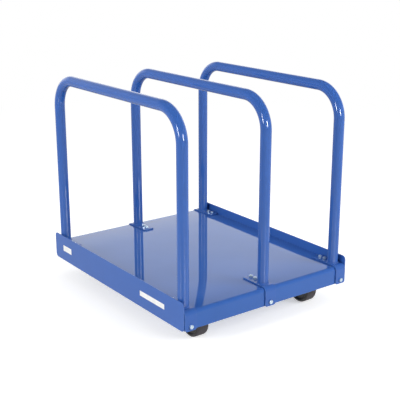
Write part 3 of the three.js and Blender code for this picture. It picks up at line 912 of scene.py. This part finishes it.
def add_wheel(kind, side):
    """Moulded wheel: its flank from bore to tread, in (radius, place along the axle, rounding), mirrored
    and turned about the axle. Gives its centre."""
    name = f"{kind}_wheel_{side}"
    low, high = spot(name)
    centre = (low + high) / 2
    half, dish = WHEEL_HALF, WHEEL_HALF - DISH_DEPTH
    flank = np.array(
        [
            (SLEEVE_RADIUS + RUN_GAP, half, 0.6),
            (HUB_RADIUS, half, 1.5),
            (DISH_RADII[0], dish, 2.5),
            (DISH_RADII[1], dish, 2.5),
            (RIM_RADIUS, half, 1.2),
            (WHEEL_RADIUS - CROWN_DROP, half, 7),
            (WHEEL_RADIUS, CROWN_HALF, 60),
        ]
    )
    corners = np.concatenate([flank[:, :2] * (1, -1), flank[::-1, :2]])
    rounding = np.concatenate([flank[:, 2], flank[::-1, 2]])
    rings, outline, _ = turned("x", corners, rounding, WHEEL_SIDES, centre, steps=8)
    # edge weight: 0 on the sides, which carry the painted shade, up to 1 on the grimy tread
    start, rise = SIDE_SHADE_TO_TREAD_GRIME
    rolled = np.clip((outline[:, 0] - (WHEEL_RADIUS - start)) / rise, 0, 1)
    stand_in(name, "tyre", [block(rings, wrap=True, edge=rolled)], WHEEL)
    return centre


def add_sleeve(kind, side, centre):
    """Bearing sleeve in the wheel's bore."""
    name = f"{kind}_sleeve_{side}"
    low, high = spot(name)
    hollow = AXLE_RADIUS + RUN_GAP
    tube = [(hollow, low[0]), (SLEEVE_RADIUS, low[0]), (SLEEVE_RADIUS, high[0]), (hollow, high[0])]
    rings, _, on_arc = turned("x", tube, SLEEVE_ROUND, SLEEVE_SIDES, (0, centre[1], centre[2]))
    stand_in(name, "bush", [block(rings, wrap=True, edge=on_arc)], STEEL)


def add_axle(kind, side, centre):
    """Axle bolt through both legs and the sleeve, and its lock nut."""
    name = f"{kind}_axle_{side}"
    low, high = spot(name)
    seat = np.array([low[0] + AXLE_HEAD, centre[1], centre[2]])
    length = high[0] - seat[0]
    thread_start = length - AXLE_NUT - AXLE_TIP - AXLE_RUNOUT
    head = set_on("x", -1, seat, hex_head(AXLE_FLATS, AXLE_HEAD, AXLE_HEAD_TURN))
    bar = set_on("x", 1, seat, round_bar(AXLE_RADIUS, -AXLE_HEAD / 2, thread_start + BAR_OVERLAP))
    tip = set_on("x", 1, seat, thread(AXLE_RADIUS, AXLE_PITCH, thread_start, length))
    stand_in(name, "bolt", [head, bar, tip], ZINC)

    name = f"{kind}_axle_nut_{side}"
    seat = np.array([spot(name)[0][0], centre[1], centre[2]])
    shape = hex_nut(AXLE_FLATS, AXLE_NUT, AXLE_BORE, AXLE_NUT_TURN, AXLE_COLLAR)
    stand_in(name, "locknut", [set_on("x", 1, seat, shape, wrap=True)], ZINC)


def add_wheel_set(kind, side):
    """Wheel with its bearing sleeve, axle bolt and axle nut. Gives the wheel's centre."""
    centre = add_wheel(kind, side)
    add_sleeve(kind, side, centre)
    add_axle(kind, side, centre)
    return centre


def caster_plate(name):
    """Top plate of a caster, from its node's box. Gives its block, its middle and its lower face."""
    low, high = spot(name)
    x, y = (low[0] + high[0]) / 2, (low[1] + high[1]) / 2
    under = high[2] - PLATE_WALL
    outline = rectangle(high[0] - low[0], high[1] - low[1], x, y)
    return plate("z", outline, PLATE_CORNER, under, high[2], PLATE_EDGE), x, y, under


def add_rigid_caster(side):
    """Rigid caster: a plate with two legs in one bracket, and its wheel."""
    axle = add_wheel_set("rigid", side)
    bracket = f"rigid_bracket_{side}"
    top, x, y, under = caster_plate(bracket)
    legs = fork_legs(x, y, axle[1], axle[2], under + PLATE_WALL / 2, under)
    stand_in(bracket, "frame", [top, *legs], ZINC)
    add_plate_nuts(f"{bracket}_nuts", x, y, under)


def add_race(side, centre):
    """Ball race: a ring with a groove round its middle, where its halves meet."""
    name = f"swivel_race_{side}"
    low, high = spot(name)
    middle = (low[2] + high[2]) / 2
    lower, upper = middle - RACE_GROOVE_HALF, middle + RACE_GROOVE_HALF
    outline = [(RACE_HOLLOW, low[2]), (RACE_RADIUS, low[2]), (RACE_RADIUS, lower)]
    outline += [(RACE_RADIUS - RACE_GROOVE_DEPTH, middle)]
    outline += [(RACE_RADIUS, upper), (RACE_RADIUS, high[2]), (RACE_HOLLOW, high[2])]
    rings, _, on_arc = turned("z", outline, RACE_ROUND, RACE_SIDES, centre)
    stand_in(name, "raceway", [block(rings, wrap=True, edge=on_arc)], STEEL)


def add_fork(side, centre, axle):
    """Swivel fork: two legs under a table with rounded edges and a hole for the kingpin. The table's rim is
    the larger of the race's circle and a square whose corners are cut."""
    name = f"swivel_fork_{side}"
    seat = spot(name)[1][2]
    base = seat - PLATE_WALL
    angle = np.linspace(0, TURN, TABLE_SIDES, endpoint=False)
    square = (LEG_INNER + FORK_WALL) / np.maximum(np.abs(np.cos(angle)), np.abs(np.sin(angle)))
    rim = np.maximum(RACE_RADIUS, np.minimum(square, TABLE_CORNER))
    hole = np.full(len(angle), TABLE_HOLE)
    rings = [(hole + TABLE_SINK, base)]
    rings += [(rim - inset, base + height) for inset, height in TABLE_ROUND]
    rings += [(rim - inset, seat - height) for inset, height in TABLE_ROUND[::-1]]
    rings += [(hole + TABLE_SINK, seat), (hole, seat - TABLE_SINK), (hole, base + TABLE_SINK)]
    radii = np.array([radius for radius, _ in rings])
    levels = np.array([level for _, level in rings])[:, None]
    table = set_on("z", 1, centre, round_axis(angle, radii, levels), wrap=True)
    legs = fork_legs(centre[0], centre[1], axle[1], axle[2], base + PLATE_WALL / 2, base)
    stand_in(name, "yoke", [table, *legs], ZINC)


def add_swivel_caster(side):
    """Swivel caster: plate with kingpin, ball race, fork, kingpin nut and wheel."""
    axle = add_wheel_set("swivel", side)
    name = f"swivel_plate_{side}"
    top, x, y, under = caster_plate(name)
    centre = np.array([x, y, 0.0])
    tip = spot(name)[0][2]
    pin = set_on("z", -1, centre, thread(KINGPIN_RADIUS, KINGPIN_PITCH, -under - THREAD_OVERLAP, -tip))
    stand_in(name, "mount", [top, pin], ZINC)
    add_plate_nuts(f"{name}_nuts", x, y, under)
    add_race(side, centre)
    add_fork(side, centre, axle)

    name = f"kingpin_nut_{side}"
    low, high = spot(name)
    shape = hex_nut(KINGPIN_FLATS, high[2] - low[2], KINGPIN_BORE, KINGPIN_NUT_TURN)
    nut = set_on("z", -1, np.array([x, y, high[2]]), shape, wrap=True)
    stand_in(name, "hexnut", [nut], ZINC)


def add_label(name, y, drop, width, height):
    """Blank sticker on the left end plate: a rounded rectangle that stands a little proud of the face."""
    face = spot("end_plate_left")[0][0]
    z = spot("deck")[1][2] - drop
    points, normals, _ = rounded_loop(rectangle(width, height, y, z), LABEL_CORNER, 6, LABEL_EDGE)
    insets, heights, _ = edge_profile(face - LABEL_PROUD, face + LABEL_SUNK, LABEL_EDGE, 3, 2 * LABEL_EDGE)
    add_piece(name, [block(drawn_in("x", points, normals, insets, heights))], LABEL, "frame")


add_deck()
for place, way in SIDES:
    add_end_plate(place)
    add_end_welds(place, way)
    add_rigid_caster(place)
    add_swivel_caster(place)
for place in HOOPS:
    add_hoop(place)
add_bolts()
for label in LABELS:
    add_label(*label)


# Studio, in metres

FLOOR_REACH = 30.0
FLOOR_GREY = (0.8, 0.8, 0.8, 1)
FLOOR_LIFT = 0.5  # light added to the floor where the camera sees it
FLOOR_FADE = (1.2, 4.0)  # distances from the cart between which the floor runs out to white
SHEEN_ROUGHNESS = 0.24
SHEEN_IOR = 2.2

# How bright the floor and the world are in reflections
GLOSS_LEFT, GLOSS_FRONT, GLOSS_REAR = 0.78, 1.08, 0.45  # floor left of the cart, in front and behind
LEFT_TO_FRONT = (-0.7, 1.1)  # X less Y
REAR_X, REAR_Y = (-0.6, 0.1), (-0.2, 0.3)  # where the floor behind the cart starts and is full
BACKDROP_FRONT, BACKDROP_REAR, GLOSS_ABOVE = 0.62, 1.68, 0.3  # world in front, behind and above
REARWARD = (0.593, 0.805, 0)  # level way from the front left to the rear right
FRONT_TO_REAR = (0.3, 0.7)  # share of a direction that goes rearward
BACKDROP_TOP = (0.22, 0.66)  # share of a direction that goes up

AMBIENT = 0.5  # light that the world gives
SOFTBOX_AIM = (0, 0, 0.4)
SOFTBOXES = (  # name, place, size and watts
    ("left_softbox", (-9.04, 0.53, 3.6), (4.2, 4.8), 600),
    ("right_softbox", (2.6, -4.0, 2.2), (2.2, 2.5), 183),
    ("top_softbox", (0.2, 0.4, 3.4), (2.2, 2.2), 6),
)
STROBE_AIM = (0, 0, 0.5)
STROBE_SIZE = (0.6, 0.86)
LONG_REACH = 9
STROBES = (  # name, place, watts and reach on the tubes
    ("left_strobe", (-2.95, -0.76, 1.23), 38, LONG_REACH),
    ("front_strobe", (-0.35, -3.1, 1.23), 52, 2.95),
)
REACH_FADE = 0.1
SCREENS = (  # name, place, size and watts
    ("left_screen", (-2.95, -0.76, 1.5), (0.6, 1.4), 36),
    ("front_screen", (0.58, -3.05, 1.5), (0.8, 1.4), 138),
)
FIRST_HAND = 2.5  # bounces up to which a lamp is seen straight, with the lamp's own counted in

CAMERA_PLACE = (-1.776487, -2.450922, 1.261431)
CAMERA_AZIMUTH, CAMERA_ELEVATION, CAMERA_ROLL = (math.radians(angle) for angle in (-36.328, 16.794, -0.059))
CAMERA_SENSOR = 36.0
CAMERA_LENS = 76.378
CAMERA_END = 100.0


def in_view(tree, path):
    """1 where the camera sees it straight or through something clear."""
    return math_node(tree, "MAXIMUM", path["Is Camera Ray"], path["Is Transmission Ray"])


def floor_gloss(tree, place):
    """How bright the floor is in reflections: a ramp from left to front, and another level at the rear."""
    side = node(tree, "SeparateXYZ", {0: place}).outputs
    frontward = math_node(tree, "SUBTRACT", side["X"], side["Y"])
    before = ramp(tree, frontward, *LEFT_TO_FRONT, GLOSS_LEFT, GLOSS_FRONT)
    behind = product(tree, ramp(tree, side["X"], *REAR_X), ramp(tree, side["Y"], *REAR_Y))
    return ramp(tree, behind, 0.0, 1.0, before, GLOSS_REAR)


def add_floor():
    """Pale floor: it takes the cart's shadow near the cart and runs out to white further off. In gloss it
    is a grey that differs from side to side, with a soft sheen."""
    mesh = bpy.data.meshes.new("floor")
    corners = rectangle(2 * FLOOR_REACH, 2 * FLOOR_REACH)
    mesh.from_pydata(laid("z", corners[:, 0], corners[:, 1], 0).tolist(), [], [(0, 1, 2, 3)])
    material = bpy.data.materials.new("pale_floor")
    tree = bare_tree(material)
    place = node(tree, "TexCoord").outputs["Object"]
    away = node(tree, "VectorMath", {0: place}, operation="LENGTH").outputs["Value"]
    path = node(tree, "LightPath").outputs
    seen = in_view(tree, path)
    pale = node(tree, "BsdfDiffuse", {"Color": FLOOR_GREY}).outputs[0]
    lift = node(tree, "Emission", {"Strength": product(tree, seen, FLOOR_LIFT)}).outputs[0]
    near = node(tree, "AddShader", {0: pale, 1: lift}).outputs[0]
    white = node(tree, "Emission", {"Strength": 1.0}).outputs[0]
    far = product(tree, ramp(tree, away, *FLOOR_FADE), seen)
    plain = node(tree, "MixShader", {0: far, 1: near, 2: white}).outputs[0]
    grey = node(tree, "Emission", {"Strength": floor_gloss(tree, place)}).outputs[0]
    sheen = node(tree, "BsdfGlossy", {"Roughness": SHEEN_ROUGHNESS}).outputs[0]
    fresnel = node(tree, "Fresnel", {"IOR": SHEEN_IOR}).outputs[0]
    polished = node(tree, "MixShader", {0: fresnel, 1: grey, 2: sheen}).outputs[0]
    whole = node(tree, "MixShader", {0: path["Is Glossy Ray"], 1: plain, 2: polished}).outputs[0]
    node(tree, "OutputMaterial", {"Surface": whole})
    mesh.materials.append(material)
    floor = put_in_scene("floor", mesh)
    SMALL_PIECES.objects.link(floor)


def add_world():
    """White where the camera sees it, and a softer white for the light that it gives. In gloss it is a
    backdrop, brighter behind the cart than in front, with a dim room above it."""
    world = bpy.data.worlds.new("studio")
    bpy.context.scene.world = world
    tree = bare_tree(world)
    path = node(tree, "LightPath").outputs
    direction = node(tree, "TexCoord").outputs["Generated"]
    upward = node(tree, "SeparateXYZ", {0: direction}).outputs["Z"]
    toward = node(tree, "VectorMath", {0: direction, 1: REARWARD}, operation="DOT_PRODUCT").outputs["Value"]
    low_down = ramp(tree, toward, *FRONT_TO_REAR, BACKDROP_FRONT, BACKDROP_REAR)
    gloss = ramp(tree, upward, *BACKDROP_TOP, low_down, GLOSS_ABOVE)
    light = ramp(tree, in_view(tree, path), 0.0, 1.0, AMBIENT, 1.0)
    strength = node(tree, "Mix", {0: path["Is Glossy Ray"], 2: light, 3: gloss}).outputs[0]
    backdrop = node(tree, "Background", {"Color": (1, 1, 1, 1), "Strength": strength})
    node(tree, "OutputWorld", {"Surface": backdrop.outputs[0]})


def add_softbox(name, place, size, watts, aim=SOFTBOX_AIM):
    """Rectangular area lamp that looks from its place at a point, and that gloss doesn't show."""
    lamp = bpy.data.lights.new(name, "AREA")
    lamp.shape = "RECTANGLE"
    lamp.size, lamp.size_y = size
    lamp.energy = watts
    holder = put_in_scene(name, lamp)
    holder.location = place
    holder.rotation_euler = (Vector(aim) - Vector(place)).to_track_quat("-Z", "Y").to_euler()
    holder.visible_camera = False
    holder.visible_glossy = False
    return holder


def add_strobe(name, place, size, watts, pieces, reach=None):
    """Small lamp that lights nothing and shows only in the gloss of the given pieces, up to its reach.
    Without a reach, it shows only at second hand, in what another piece mirrors of them."""
    holder = add_softbox(name, place, size, watts, STROBE_AIM)
    holder.visible_diffuse = False
    holder.visible_glossy = True
    holder.light_linking.receiver_collection = pieces
    tree = bare_tree(holder.data)
    path = node(tree, "LightPath").outputs
    if reach:
        shown = ramp(tree, path["Ray Length"], reach, reach + REACH_FADE, 1.0, 0.0)
    else:
        shown = math_node(tree, "GREATER_THAN", path["Ray Depth"], FIRST_HAND)
    glow = node(tree, "Emission", {"Strength": shown}).outputs[0]
    node(tree, "OutputLight", {"Surface": glow})


def add_camera():
    """Camera at the photograph's angle: it looks back along its azimuth and elevation, rolled a bit."""
    level = math.cos(CAMERA_ELEVATION)
    across, along = math.sin(CAMERA_AZIMUTH) * level, -math.cos(CAMERA_AZIMUTH) * level
    back = Vector((across, along, math.sin(CAMERA_ELEVATION)))
    right = (-back).cross(Vector((0, 0, 1))).normalized()
    up = right.cross(-back)
    rolled_right = math.cos(CAMERA_ROLL) * right + math.sin(CAMERA_ROLL) * up
    rolled_up = math.cos(CAMERA_ROLL) * up - math.sin(CAMERA_ROLL) * right
    turn = Matrix((rolled_right, rolled_up, back)).transposed()
    lens = bpy.data.cameras.new("camera")
    lens.sensor_width = CAMERA_SENSOR
    lens.lens = CAMERA_LENS
    lens.clip_end = CAMERA_END
    camera = put_in_scene("camera", lens)
    camera.matrix_world = Matrix.Translation(CAMERA_PLACE) @ turn.to_4x4()
    bpy.context.scene.camera = camera


add_floor()
add_world()
for softbox in SOFTBOXES:
    add_softbox(*softbox)
for name, place, watts, tube_reach in STROBES:
    add_strobe(f"{name}_on_tubes", place, STROBE_SIZE, watts, TUBES, tube_reach)
    add_strobe(f"{name}_on_small_pieces", place, STROBE_SIZE, watts, SMALL_PIECES, LONG_REACH)
for screen in SCREENS:
    add_strobe(*screen, TUBES_AND_DECK)
add_camera()
bpy.context.scene.view_settings.view_transform = "Standard"
